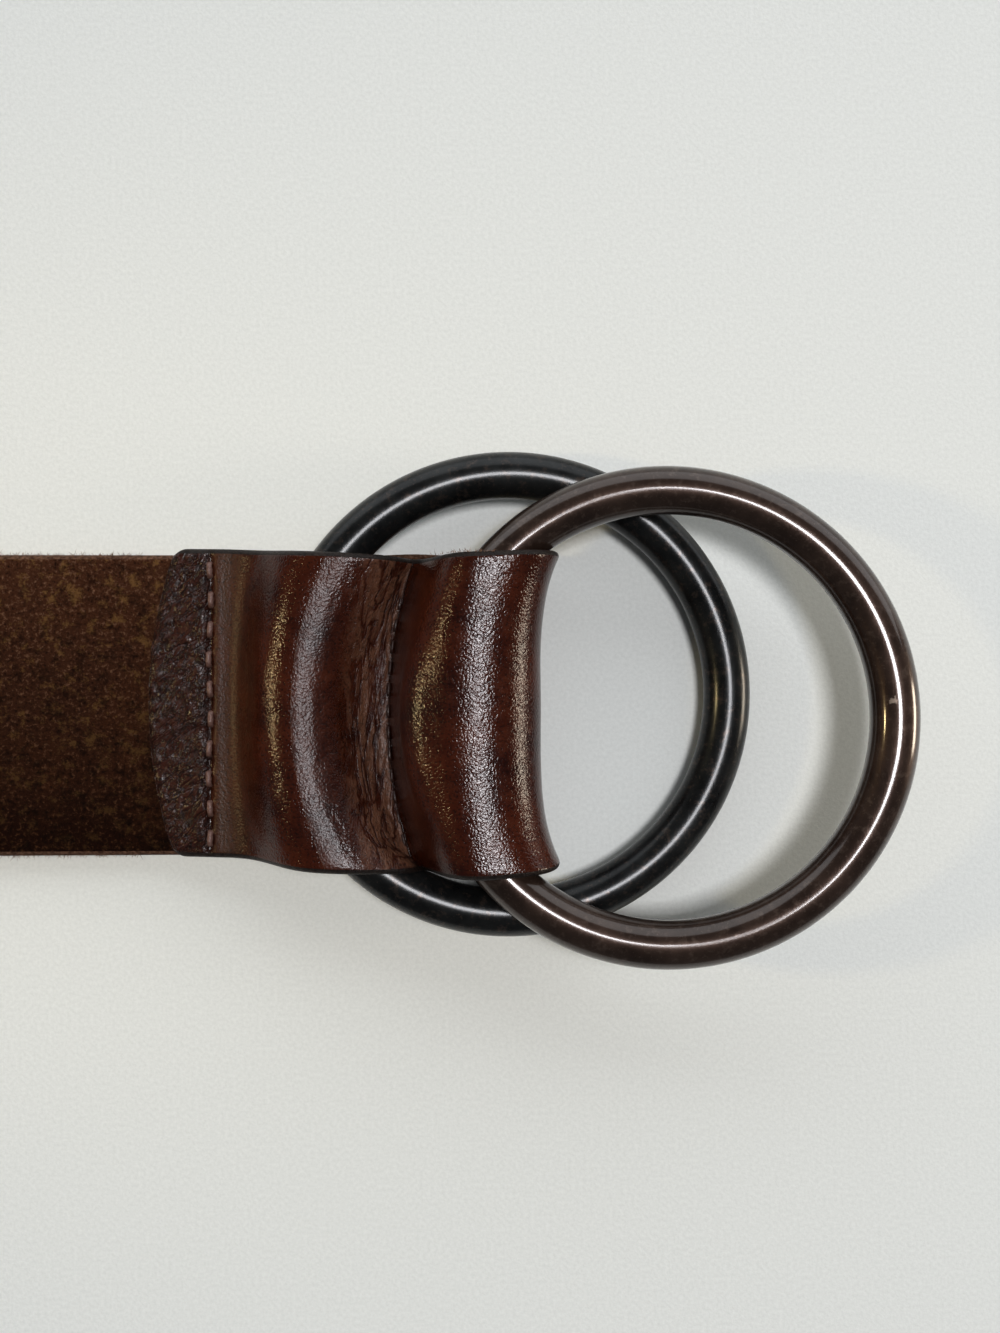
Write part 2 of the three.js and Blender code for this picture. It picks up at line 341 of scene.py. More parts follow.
def across_shares():
    """Shares of the half width, closer together where the edges are rounded, and the thickness there."""
    inner = 1 - EDGE_ROUND / STRAP_HALF
    angles = np.linspace(0, math.pi / 2, EDGE_STEPS)[1:]
    edge = inner + (1 - inner) * np.sin(angles)
    middle = np.linspace(-inner, inner, ACROSS)
    v = np.concatenate([-edge[::-1], middle, edge])
    beyond = np.clip((np.abs(v) - inner) / (1 - inner), 0, 1)
    return v, np.sqrt(np.maximum(1 - beyond ** 2, EDGE_LEAST))


def blurred(field):
    """Smooths a field along the path, so that no stretch joins the next with a kink."""
    window = np.hanning(BLUR_WIDTH + 2)[1:-1]
    window /= window.sum()
    half = BLUR_WIDTH // 2
    padded = np.pad(field, ((0, 0), (half, half)), mode="edge")
    return np.apply_along_axis(lambda row: np.convolve(row, window, mode="valid"), 1, padded)


def leather_grids():
    """Middle points, thickness and zone of the whole leather, as grids of width by length."""
    v, edge_share = across_shares()
    zone, x, y, z, thickness = (np.stack(rows) for rows in zip(*map(leather_path, v)))
    bent = (zone > CHANNEL) & (zone < BAND)
    x, z = np.where(bent, blurred(x), x), np.where(bent, blurred(z), z)
    return v, edge_share, zone, x, y, z, thickness


# Relief of the grain side, in millimetres.
# Each pair of heights is for the low and the high points of a wave with the stitches' pitch.

END_GROOVE_WIDTH = 0.75
END_GROOVE = (0.8, 0.25)
BAND_SIDE = (0.9, 1.3)
BAND_PUCKERS = (-0.05, 0.36)
FOOT_SIDE = (0.8, 1.2)
FOOT_BANK = 0.1
RIDGE_AWAY = 3.0
RIDGE_WIDTH = 0.35
RIDGE = 0.02
RIDGE_SHARE = 0.4
BAND_CREASES = 0.28
BAND_FINE = 0.1

MIDDLE_GROOVE_WIDTH = 0.5
MIDDLE_GROOVE = (0.3, 0.2)
SEAM_WANDER = 0.7
FOLDS = 0.24
FOLDS_REACH = 6.0
FOLDS_RISE = 0.8
FOLDS_START = 0.3
FOLDS_WARP = 0.25
SMALL_FOLDS = 0.5
FRONT_FOLDS = 0.05
FRONT_AWAY = 2.2
FRONT_REACH = 1.2

WAVES = 0.09
WAVES_START = -62
WAVES_RISE = 3

LATTICE = 64


class Noise:
    """Smooth seeded value noise on a repeating lattice, which x and y in millimetres are scaled to.

    Along and across hold the lattice's two axes, each as steps for a millimetre of x and of y.
    """

    def __init__(self, seed, along, across):
        self.table = np.random.default_rng(seed).uniform(-1, 1, (LATTICE, LATTICE))
        self.along = along
        self.across = across

    def at(self, x, y, shift=0):
        u = x * self.along[0] + y * self.along[1] + shift
        w = x * self.across[0] + y * self.across[1]
        i, j = np.floor(u).astype(int), np.floor(w).astype(int)
        share_u, share_w = smooth(u - i), smooth(w - j)
        i, next_i, j, next_j = i % LATTICE, (i + 1) % LATTICE, j % LATTICE, (j + 1) % LATTICE
        near = lerp(self.table[i, j], self.table[next_i, j], share_u)
        far = lerp(self.table[i, next_j], self.table[next_i, next_j], share_u)
        return lerp(near, far, share_w)


RIDGE_NOISE = Noise(11, (0.05, 0), (0, 0.13))
CREASE_NOISE = Noise(12, (0.35, 0.12), (-0.35, 1.1))
FINE_NOISE = Noise(13, (0.9, 0.5), (-0.8, 2.1))
FOLD_NOISE = Noise(14, (1.25, 0), (0, 0.11))
WARP_NOISE = Noise(15, (0.2, 0), (0, 0.15))
SMALL_FOLD_NOISE = Noise(15, (2.3, 0), (0, 0.2))
FRONT_NOISE = Noise(16, (2.0, 0), (0, 0.16))
WAVE_NOISE = Noise(17, (0.11, 0), (0, 0.12))
WANDER_NOISE = Noise(18, (0, 0.3), (0, 0.11))


def hollow(away, width):
    """A round hollow or ridge: 1 in its middle, 0 away from it."""
    return np.exp(-(away / width) ** 2)


def bank(away, rise, fade):
    """The side of a seam: rises over one distance, then fades over another."""
    return smooth(away / rise) * np.exp(-np.maximum(0, away - rise) / fade)


def stitch_beat(across, pitch):
    """A wave along a seam, which is 1 at the middle of the end seam's stitches and 0 at their holes."""
    return 0.5 + 0.5 * np.cos(2 * math.pi * (across - STITCH_START) / pitch)


def end_seam_relief(zone, x, y, across):
    """Groove, puckers and faint ridge of the end seam, and creases of the end band."""
    here = (zone >= FOOT).astype(float)
    away = x - END_SEAM_X
    beat = stitch_beat(across, STITCH_PITCH)
    worn = smooth(RIDGE_SHARE + RIDGE_NOISE.at(x, y))
    crossed = CREASE_NOISE.at(x, y)
    fine = FINE_NOISE.at(x, y)
    return (
        -here * hollow(away, END_GROOVE_WIDTH) * lerp(*END_GROOVE, beat),
        here * bank(-away, *BAND_SIDE) * lerp(*BAND_PUCKERS, beat),
        here * bank(away, *FOOT_SIDE) * FOOT_BANK,
        here * RIDGE * hollow(away - RIDGE_AWAY, RIDGE_WIDTH) * worn,
        smooth(-away) * (zone == BAND) * (BAND_CREASES * (1 - np.abs(crossed)) ** 3 + BAND_FINE * fine),
    )


def middle_seam_relief(zone, x, y, v, across):
    """Groove of the middle seam, the folds gathered behind it and the small ones before it."""
    here = ((zone == CREST) | (zone == HUMP)).astype(float)
    away = x - seam_x(v) + SEAM_WANDER * WANDER_NOISE.at(x, y)
    behind = np.exp(-np.maximum(0, -away) / FOLDS_REACH) * smooth(-away / FOLDS_RISE + FOLDS_START)
    folds = FOLD_NOISE.at(away, y, FOLDS_WARP * WARP_NOISE.at(x, y))
    folds += SMALL_FOLDS * SMALL_FOLD_NOISE.at(away, y)
    before = np.exp(-np.abs(away - FRONT_AWAY) / FRONT_REACH) * (away > 0)
    return (
        -here * hollow(away, MIDDLE_GROOVE_WIDTH) * lerp(*MIDDLE_GROOVE, stitch_beat(across, MIDDLE_PITCH)),
        here * behind * FOLDS * folds,
        here * before * FRONT_FOLDS * FRONT_NOISE.at(away, y),
    )


def relief(zone, x, y, v):
    """Height of the grooves, puckers, creases and waves on the grain side."""
    across = y - flap_shift(x)
    flap = smooth((x - WAVES_START) / WAVES_RISE) * (zone >= FOLD)
    waves = WAVES * WAVE_NOISE.at(x, y) * flap
    return sum((*end_seam_relief(zone, x, y, across), *middle_seam_relief(zone, x, y, v, across), waves))


# Meshes

GRAIN, FLESH, EDGE = range(3)
SIDEWAYS_SHARE = 0.3
RELIEF_RISE = 12
EDGE_FACE_SHARE = 0.7
NO_SEAM_NEAR = 40.0
PROBE_REACH = 0.45

# Thread: how high a stitch stands over the leather, how far and how suddenly its ends dive, and its twist
THREAD_SIDES = 8
THREAD_STEPS = 12
THREAD_RISE = 0.35
THREAD_DIVE = 1.9
THREAD_BEND = 3.5
THREAD_TWIST = 0.09
THREAD_TURN = 7

# Loose fibres: along the strap's edges, more of them near the flap, and at the flap's upper edge.
# The cross direction is one that no fibre lies along.
FIBRE_SEED = 41
FIBRE_COUNT = 2300
FIBRES_FROM_TIP = 20
FIBRES_TO_FLAP = 2
NEAR_SHARE = 0.3
NEAR_LENGTH = 50
UPPER_FIBRES = 70
UPPER_STRETCH = (-13.0, -3.0)
UPPER_INSET = 0.5
UPPER_SUNK = 0.5
ROOT_SUNK = 0.12
UPPER_ROOT_SUNK = 0.1
ROOT_LOW = 0.35
ROOT_SPAN = 2.3
FIBRE_SWAY = 0.9
FIBRE_LIFT = 0.15
FIBRE_LIFT_SPREAD = 0.5
FIBRE_CURL = 0.35
FIBRE_SHORTEST = 0.25
FIBRE_EXTRA = 0.65
FIBRE_THINNEST = 0.028
FIBRE_THICKER = 0.02
FIBRE_CROSS = (0.3, 0.2, 1.0)
FIBRE_SHARES = ((0, 1.0), (0.55, 0.8))
FIBRE_ANGLES = (0, 2.1, 4.2)
FIBRE_LOWEST = 0.02

RING_TURNS = 240
RING_SIDES = 40
NICK_INSET = 1.5


def normals(x, y, z):
    """Unit normals of a grid, pointing away from the rings' side and hardly swayed by sideways drift."""
    drift = SIDEWAYS_SHARE * np.gradient(y, axis=1)
    along = np.stack([np.gradient(x, axis=1), drift, np.gradient(z, axis=1)], axis=-1)
    across = np.zeros_like(along)
    across[..., 1] = np.gradient(y, axis=0)
    normal = np.cross(along, across)
    return -normal / np.maximum(np.linalg.norm(normal, axis=-1, keepdims=True), 1e-9)


def grid_faces(rows, columns, start, flip):
    index = start + np.arange(rows * columns).reshape(rows, columns)
    quads = np.stack([index[:-1, :-1], index[1:, :-1], index[1:, 1:], index[:-1, 1:]], axis=-1).reshape(-1, 4)
    return quads[:, ::-1] if flip else quads


def border(rows, columns):
    """Indices round a grid's border, in order."""
    index = np.arange(rows * columns).reshape(rows, columns)
    return np.concatenate([index[0, :-1], index[:-1, -1], index[-1, :0:-1], index[:0:-1, 0]])


def make_mesh(name, points, faces, materials, face_material=None, smooth_faces=True):
    mesh = bpy.data.meshes.new(name)
    mesh.from_pydata([tuple(p) for p in points], [], [tuple(int(i) for i in f) for f in faces])
    for material in materials:
        mesh.materials.append(material)
    if face_material is not None:
        mesh.polygons.foreach_set("material_index", np.asarray(face_material, np.int32))
    mesh.polygons.foreach_set("use_smooth", np.full(len(mesh.polygons), smooth_faces))
    mesh.update()
    piece = bpy.data.objects.new(name, mesh)
    bpy.context.scene.collection.objects.link(piece)
    return piece


def make_strap(materials):
    """The whole leather, and the points of its surface that thread and fibres are placed on."""
    v, edge_share, zone, x, y, z, thickness = leather_grids()
    normal = normals(x, y, z)
    middle = np.stack([x, y, z], axis=-1)
    half = (thickness * edge_share[:, None] / 2)[..., None]
    inside = smooth((1 - np.abs(v)) * RELIEF_RISE)[:, None, None]
    outer = middle + normal * (half + relief(zone, x, y, v[:, None])[..., None] * inside)
    inner = middle - normal * half
    surface = np.concatenate([outer.reshape(-1, 3), inner.reshape(-1, 3)])

    rows, columns = x.shape
    count = rows * columns
    ring = border(rows, columns)
    following = np.roll(ring, -1)
    sides = np.stack([ring, following, following + count, ring + count], axis=-1)
    faces = np.concatenate([
        grid_faces(rows, columns, 0, False),
        grid_faces(rows, columns, count, True),
        sides[:, ::-1],
    ])
    edge_rows = np.abs((v[1:] + v[:-1]) / 2) > 1 - EDGE_FACE_SHARE * EDGE_ROUND / STRAP_HALF
    edge_faces = np.repeat(edge_rows, columns - 1)
    skins = [np.where(edge_faces, EDGE, skin) for skin in (GRAIN, FLESH)]
    face_material = np.concatenate([*skins, np.full(len(sides), EDGE)])
    piece = make_mesh("belt_leather", (surface + [X0, 0, 0]) * MM, faces, materials, face_material)
    store_places(piece, v, zone, x)
    return piece, surface


def store_places(piece, v, zone, x):
    """Keeps each point's place in the leather, for the materials."""
    beside_seam = (zone == CREST) | (zone == HUMP)
    fields = {
        "from_end": np.where(zone >= FOOT, x - END_SEAM_X, NO_SEAM_NEAR),
        "from_seam": np.where(beside_seam, x - seam_x(v[:, None]), NO_SEAM_NEAR),
        "edge": np.broadcast_to(np.abs(v)[:, None], x.shape),
        "flap": (zone >= FOLD).astype(float),
    }
    for name, field in fields.items():
        stored = piece.data.attributes.new(name, "FLOAT", "POINT")
        stored.data.foreach_set("value", np.tile(np.ravel(field), 2).astype(np.float32))


def surface_height(surface, x, y, highest):
    """Highest or lowest point of the leather near a place given in millimetres."""
    near = np.hypot(surface[:, 0] - x, surface[:, 1] - y) < PROBE_REACH
    return surface[near, 2].max() if highest else surface[near, 2].min()


def make_thread(name, surface, places, material, length, radius, sunk, highest=True):
    """Stitches: short lengths of thread whose ends go down into their holes."""
    sides, steps = THREAD_SIDES, THREAD_STEPS
    sign = 1 if highest else -1
    points, faces = [], []
    for place, following in zip(places[:-1], places[1:]):
        along = np.subtract(following, place)
        along /= np.linalg.norm(along)
        centre = np.add(place, following) / 2
        level = surface_height(surface, *centre, highest)
        first = len(points)
        for step in range(steps + 1):
            t = step / steps * 2 - 1
            x, y = centre + along * t * length / 2
            rise = sign * (radius * (THREAD_RISE - THREAD_DIVE * abs(t) ** THREAD_BEND) - sunk)
            for side in range(sides):
                angle = 2 * math.pi * side / sides
                twist = 1 + THREAD_TWIST * math.cos(2 * angle + THREAD_TURN * t)
                out = radius * twist * math.cos(angle)
                up = radius * twist * math.sin(angle)
                points.append((x - along[1] * out + X0, y + along[0] * out, level + rise + up))
        for a in range(first, first + steps * sides, sides):
            for side in range(sides):
                following_side = (side + 1) % sides
                faces.append((a + side, a + following_side, a + following_side + sides, a + side + sides))
        faces.append(range(first + sides - 1, first - 1, -1))
        faces.append(range(first + steps * sides, first + (steps + 1) * sides))
    piece = make_mesh(name, np.array(points) * MM, faces, [material])
    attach(piece, "root")


def fibre_roots(rng, surface):
    """Where the loose fibres start, and on which side: the strap's raw edges and the flap's upper edge."""
    side = np.where(rng.random(FIBRE_COUNT) < 0.5, -1.0, 1.0)
    start = tip_x(0) + FIBRES_FROM_TIP
    end = flap_end_x(0) - FIBRES_TO_FLAP
    x = start + rng.random(FIBRE_COUNT) * (end - start)
    near = rng.random(FIBRE_COUNT) < NEAR_SHARE
    x[near] = end - NEAR_LENGTH * rng.random(near.sum())
    z = ROOT_LOW + ROOT_SPAN * rng.random(FIBRE_COUNT)
    strap_roots = np.stack([x, side * (STRAP_HALF - ROOT_SUNK), z], axis=1)
    flap_x = lerp(*UPPER_STRETCH, rng.random(UPPER_FIBRES))
    flap_y = FLAP_HALF + flap_shift(flap_x)
    tops = [surface_height(surface, a, b - UPPER_INSET, True) for a, b in zip(flap_x, flap_y)]
    flap_roots = np.stack([flap_x, flap_y - UPPER_ROOT_SUNK, np.array(tops) - UPPER_SUNK], axis=1)
    return np.concatenate([strap_roots, flap_roots]), np.concatenate([side, np.ones(UPPER_FIBRES)])


def make_raw_fibres(surface, material):
    """Short loose fibres, each a bent spike with three sides."""
    rng = np.random.default_rng(FIBRE_SEED)
    roots, side = fibre_roots(rng, surface)
    total = len(roots)
    sway = rng.normal(0, FIBRE_SWAY, total)
    out = np.stack([sway, side, rng.normal(FIBRE_LIFT, FIBRE_LIFT_SPREAD, total)], axis=1)
    out /= np.linalg.norm(out, axis=1, keepdims=True)
    curl = rng.normal(0, FIBRE_CURL, (total, 3))
    length = FIBRE_SHORTEST + FIBRE_EXTRA * rng.random(total) ** 2
    width = FIBRE_THINNEST + FIBRE_THICKER * rng.random(total)
    points, faces = [], []
    for k in range(total):
        first = len(points)
        u = np.cross(out[k], FIBRE_CROSS)
        u /= np.linalg.norm(u)
        w = np.cross(out[k], u)
        for t, share in FIBRE_SHARES:
            middle = roots[k] + length[k] * (out[k] * t + curl[k] * t * t)
            for angle in FIBRE_ANGLES:
                points.append(middle + width[k] * share * (u * math.cos(angle) + w * math.sin(angle)))
        points.append(roots[k] + length[k] * (out[k] + curl[k]))
        for a, b in ((0, 1), (1, 2), (2, 0)):
            faces.append((first + a, first + b, first + 3 + b, first + 3 + a))
            faces.append((first + 3 + a, first + 3 + b, first + 6))
    points = np.array(points)
    points[:, 2] = np.maximum(points[:, 2], FIBRE_LOWEST)
    piece = make_mesh("raw_fibres", (points + [X0, 0, 0]) * MM, faces, [material], smooth_faces=False)
    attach(piece, "root")


def end_seam_places():
    """The end seam's holes, on a line that wavers a little."""
    y = STITCH_START + STITCH_PITCH * (np.arange(STITCH_COUNT + 1) - 0.5)
    return [(END_SEAM_X + STITCH_WAVER * math.sin(STITCH_WAVER_TURN * k), place) for k, place in enumerate(y)]


def middle_seam_places():
    """The middle seam's holes, shifted sideways with the flap."""
    count = int(2 * MIDDLE_SEAM_HALF / MIDDLE_PITCH)
    y = np.arange(count + 1) * MIDDLE_PITCH - MIDDLE_SEAM_HALF
    return [(seam_x(place / FLAP_HALF) - MIDDLE_SEAM_BACK, place + MIDDLE_SEAM_SHIFT) for place in y]


def make_ring(name, node, ring, material):
    """A smooth ring in the place of the faceted one."""
    a = np.linspace(0, 2 * math.pi, RING_TURNS, endpoint=False)
    b = np.linspace(0, 2 * math.pi, RING_SIDES, endpoint=False)
    a, b = np.meshgrid(a, b, indexing="ij")
    u = np.cross(ring.axis, [0, 1, 0])
    u /= np.linalg.norm(u)
    w = np.cross(ring.axis, u)
    radial = np.cos(a)[..., None] * u + np.sin(a)[..., None] * w
    points = ring.centre + radial * (ring.radius + ring.wire * np.cos(b))[..., None]
    points = points + np.sin(b)[..., None] * ring.wire * ring.axis
    index = np.arange(RING_TURNS * RING_SIDES).reshape(RING_TURNS, RING_SIDES)
    right, up = np.roll(index, -1, 0), np.roll(index, -1, 1)
    both = np.roll(right, -1, 1)
    faces = np.stack([index, up, both, right], axis=-1).reshape(-1, 4)
    piece = make_mesh(name, points.reshape(-1, 3) * MM, faces, [material])
    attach(piece, "root")
    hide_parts(node)
    return piece


def ring_place(ring, degrees):
    """A place on top of a ring's wire, in metres, at an angle from +X."""
    angle = math.radians(degrees)
    place = ring.centre + (ring.radius - NICK_INSET) * np.array([math.cos(angle), math.sin(angle), 0])
    place[2] -= (ring.axis[:2] @ (place - ring.centre)[:2]) / ring.axis[2]
    return tuple((place + [0, 0, ring.wire]) * MM)


# Nodes that the materials are made of

def new_material(name):
    material = bpy.data.materials.new(name)
    material.use_nodes = True
    tree = material.node_tree
    tree.nodes.clear()
    return material, tree


def connect(tree, socket, value):
    """Links a socket to another node's output, or sets it to a constant."""
    if isinstance(value, bpy.types.NodeSocket):
        tree.links.new(value, socket)
    else:
        socket.default_value = value


def node(tree, kind, inputs=None, **settings):
    made = tree.nodes.new(kind)
    for key, value in settings.items():
        setattr(made, key, value)
    for key, value in (inputs or {}).items():
        connect(tree, made.inputs[key], value)
    return made


def coordinates(tree):
    return node(tree, "ShaderNodeTexCoord").outputs["Object"]


def attribute(tree, name):
    return node(tree, "ShaderNodeAttribute", attribute_name=name).outputs["Fac"]


def ramp(tree, value, low, high, start=0.0, end=1.0):
    """Goes from start to end while the value goes from low to high, and stays there beyond."""
    inputs = {"Value": value, "From Min": low, "From Max": high, "To Min": start, "To Max": end}
    return node(tree, "ShaderNodeMapRange", inputs).outputs[0]


def times(tree, a, b):
    return node(tree, "ShaderNodeMath", {0: a, 1: b}, operation="MULTIPLY").outputs[0]


def plus(tree, a, b):
    return node(tree, "ShaderNodeMath", {0: a, 1: b}, operation="ADD").outputs[0]


def size_of(tree, value):
    return node(tree, "ShaderNodeMath", {0: value}, operation="ABSOLUTE").outputs[0]


def within(tree, value, start, full, fade, end):
    """1 between full and fade, and down to 0 at start and end."""
    return times(tree, ramp(tree, value, start, full), ramp(tree, value, end, fade))


def mix(tree, factor, a, b):
    """Mixes two colours. A Mix node has its colours at inputs 6 and 7 and at output 2."""
    made = node(tree, "ShaderNodeMix", {0: factor}, data_type="RGBA")
    for index, value in ((6, a), (7, b)):
        is_socket = isinstance(value, bpy.types.NodeSocket)
        connect(tree, made.inputs[index], value if is_socket else (*value, 1))
    return made.outputs[2]


def noise(tree, where, scale, detail=2.0, rough=0.5, stretch=(1, 1, 1)):
    mapped = node(tree, "ShaderNodeMapping", {"Vector": where, "Scale": stretch}).outputs[0]
    inputs = {"Vector": mapped, "Scale": scale, "Detail": detail, "Roughness": rough}
    return node(tree, "ShaderNodeTexNoise", inputs).outputs["Fac"]


def creases(tree, where, scale, turn, length, warp, width=0.07):
    """Thin creases that run at an angle to X: 0 in a crease, 1 away from it."""
    inputs = {"Vector": where, "Rotation": (0, 0, turn), "Scale": (length, 1, 1)}
    turned = node(tree, "ShaderNodeMapping", inputs, vector_type="TEXTURE").outputs[0]
    inputs = {"Vector": turned, "Scale": scale, "Detail": 3, "Roughness": 0.55, "Distortion": warp}
    made = node(tree, "ShaderNodeTexNoise", inputs)
    return ramp(tree, size_of(tree, plus(tree, made.outputs["Fac"], -0.5)), 0, width)


def bump(tree, height, distance, strength, normal=None):
    inputs = {"Height": height, "Distance": distance, "Strength": strength}
    if normal is not None:
        inputs["Normal"] = normal
    return node(tree, "ShaderNodeBump", inputs).outputs[0]


def finish_material(tree, color, roughness, normal, **constants):
    inputs = {"Base Color": color, "Roughness": roughness, "Normal": normal}
    shader = node(tree, "ShaderNodeBsdfPrincipled", inputs)
    for key, value in constants.items():
        shader.inputs[key.replace("_", " ")].default_value = value
    output = node(tree, "ShaderNodeOutputMaterial")
    tree.links.new(shader.outputs[0], output.inputs[0])


# Colours of leather, thread and floor, as linear red, green and blue
MAHOGANY = ((0.0185, 0.0022, 0.0007), (0.060, 0.0112, 0.0028))
MOTTLED = (0.082, 0.0190, 0.0055)
OLIVE = (0.055, 0.022, 0.0065)
BAND_COLORS = ((0.009, 0.0019, 0.001), (0.050, 0.0145, 0.0085))
# worn leather among the folds, lightened further as a painted highlight
RUBBED_AND_HIGHLIGHT = (0.17, 0.08, 0.046)
# painted shade in the middle seam's crease
SEAM_CREASE_SHADE = (0.006, 0.0018, 0.001)
# painted shade in the end seam's groove and stitch holes
STITCH_GROOVE_SHADE = (0.005, 0.0016, 0.001)
# darker rims: the flap's burnished edge, and painted shade where the rim rounds away
DARK_RIM_AND_SHADE = (0.006, 0.003, 0.002)
# painted light and shade on the pebble: lighter tops and darker pits
PEBBLE_TOP_LIGHT = (0.09, 0.020, 0.007)
PEBBLE_PIT_SHADE = (0.005, 0.001, 0.0005)
RAW_EDGE = ((0.05, 0.022, 0.012), (0.20, 0.11, 0.07))
BURNISHED_EDGE = ((0.007, 0.0035, 0.0025), (0.026, 0.016, 0.012))
RAW_FIBRE = ((0.09, 0.045, 0.028), (0.32, 0.20, 0.14))
# the thread's colour, lightened with a painted glint
THREAD_AND_GLINT_COLORS = ((0.07, 0.033, 0.025), (0.24, 0.14, 0.115))
# painted shade: the middle seam's thread darkened like the crease it lies in
SHADED_THREAD_COLORS = ((0.02, 0.008, 0.006), (0.05, 0.024, 0.018))
FLOOR_COLORS = ((0.72, 0.73, 0.70), (0.78, 0.79, 0.76))

# Colours of the raw side, each pair for the strap's lower and upper edge in the camera's view, as painted
# shade below and painted light above, and the places of these two edges in metres
NAP = ((0.0150, 0.0038, 0.0014), (0.073, 0.0280, 0.0135))
NAP_LIGHT = ((0.075, 0.033, 0.014), (0.21, 0.112, 0.068))
NAP_RUST = ((0.050, 0.024, 0.008), (0.185, 0.098, 0.036))
NAP_BLOTCH = ((0.004, 0.0011, 0.0005), (0.017, 0.0052, 0.002))
NAP_WARM = (0.064, 0.022, 0.008)
# painted shade in the nap's pits
NAP_PIT_SHADE = (0.005, 0.0017, 0.0009)
NAP_PAINTED_LIGHT_SPAN = (-0.022, 0.024)

# Zones of the grain side, by their distance from the end seam or the middle seam in millimetres.
# The rim's zone is in shares of the half width.
BAND_ZONE = (0.2, -0.5)
OLIVE_ZONE = (0.3, 2.0, 3.0, 9.0)
SATIN_ZONE = (0.2, 1.0, 5.0, 9.0)
FOLDED_ZONE = (-9.5, -5.0, -0.2, 0.6)
CREASE_ZONE = (-0.9, 0.1, 0.2, 1.6)
HUMP_ZONE = (-8.0, -11.0)
GROOVE_ZONE = (0.7, 0.1)
RIM_ZONE = (0.965, 0.995)


def grain_material():
    """Waxed grain side: deep mahogany with a fine pebble, worn lighter in places, with a painted highlight
    among the folds by the middle seam, painted shade in the seams and at the rims, and painted light and
    shade on the pebble.
    """
    material, tree = new_material("grain_leather")
    where = coordinates(tree)
    from_end = attribute(tree, "from_end")
    from_seam = attribute(tree, "from_seam")
    broad = noise(tree, where, scale=90, detail=3, rough=0.6)
    mottle = noise(tree, where, scale=420, detail=4, rough=0.6)
    color = mix(tree, ramp(tree, broad, 0.35, 0.68), *MAHOGANY)
    color = mix(tree, ramp(tree, mottle, 0.42, 0.75, 0, 0.45), color, MOTTLED)

    streaks = noise(tree, where, scale=260, detail=3, rough=0.6, stretch=(1, 0.12, 1))
    olive = times(tree, within(tree, from_end, *OLIVE_ZONE), ramp(tree, streaks, 0.35, 0.7, 0.25, 0.95))
    color = mix(tree, olive, color, OLIVE)

    band = ramp(tree, from_end, *BAND_ZONE)
    fans = creases(tree, where, scale=240, turn=0.7, length=4.5, warp=1.4, width=0.05)
    scratches = creases(tree, where, scale=800, turn=1.0, length=5.0, warp=0.8)
    band_tone = noise(tree, where, scale=800, detail=4, rough=0.7)
    band_tone = times(tree, band_tone, ramp(tree, scratches, 0, 1, 0.75, 1.1))
    color = mix(tree, band, color, mix(tree, ramp(tree, band_tone, 0.32, 0.68), *BAND_COLORS))

    folded = within(tree, from_seam, *FOLDED_ZONE)
    folds = creases(tree, where, scale=330, turn=1.5, length=5.0, warp=0.5)
    cracks = creases(tree, where, scale=900, turn=1.35, length=3.0, warp=0.9)
    # lighter among the folds: wear, and partly a painted highlight
    rubbed_and_highlight = times(tree, folds, noise(tree, where, scale=700, detail=4, rough=0.7))
    color = mix(tree, ramp(tree, times(tree, folded, rubbed_and_highlight), 0.1, 0.55, 0, 0.75), color, RUBBED_AND_HIGHLIGHT)
    # painted shade: darkens the middle seam's crease
    seam_crease_shade = within(tree, from_seam, *CREASE_ZONE)
    color = mix(tree, times(tree, seam_crease_shade, 0.8), color, SEAM_CREASE_SHADE)
    # painted shade in the end seam's groove and its holes
    color = mix(tree, ramp(tree, size_of(tree, from_end), *GROOVE_ZONE, 0, 0.6), color, STITCH_GROOVE_SHADE)
    # darker rims: burnished edge, and painted shade where the rim rounds away
    color = mix(tree, ramp(tree, attribute(tree, "edge"), *RIM_ZONE), color, DARK_RIM_AND_SHADE)

    pebble = noise(tree, where, scale=2600, detail=1.5)
    coarse = noise(tree, where, scale=1300, detail=2)
    # painted light and shade: the pebble's tops lighter and its pits darker, following the bump below
    color = mix(tree, ramp(tree, pebble, 0.5, 0.7, 0, 0.35), color, mix(tree, 0.5, color, PEBBLE_TOP_LIGHT))
    color = mix(tree, ramp(tree, pebble, 0.45, 0.32, 0, 0.6), color, PEBBLE_PIT_SHADE)

    fold_height = times(tree, plus(tree, folds, times(tree, cracks, 0.4)), folded)
    band_height = times(tree, plus(tree, fans, times(tree, scratches, 0.4)), band)
    normal = bump(tree, pebble, distance=0.0001, strength=0.8)
    normal = bump(tree, coarse, distance=0.00005, strength=0.6, normal=normal)
    normal = bump(tree, fold_height, distance=0.00015, strength=0.8, normal=normal)
    normal = bump(tree, band_height, distance=0.00018, strength=0.9, normal=normal)

    rough = ramp(tree, mottle, 0.3, 0.7, 0.15, 0.22)
    for extra in (
        times(tree, band, 0.07),
        times(tree, folded, 0.22),
        ramp(tree, from_seam, *HUMP_ZONE, 0, 0.14),
        times(tree, within(tree, from_end, *SATIN_ZONE), 0.25),
    ):
        rough = plus(tree, rough, extra)
    finish_material(tree, color, rough, normal, Specular_IOR_Level=0.42)
    return material


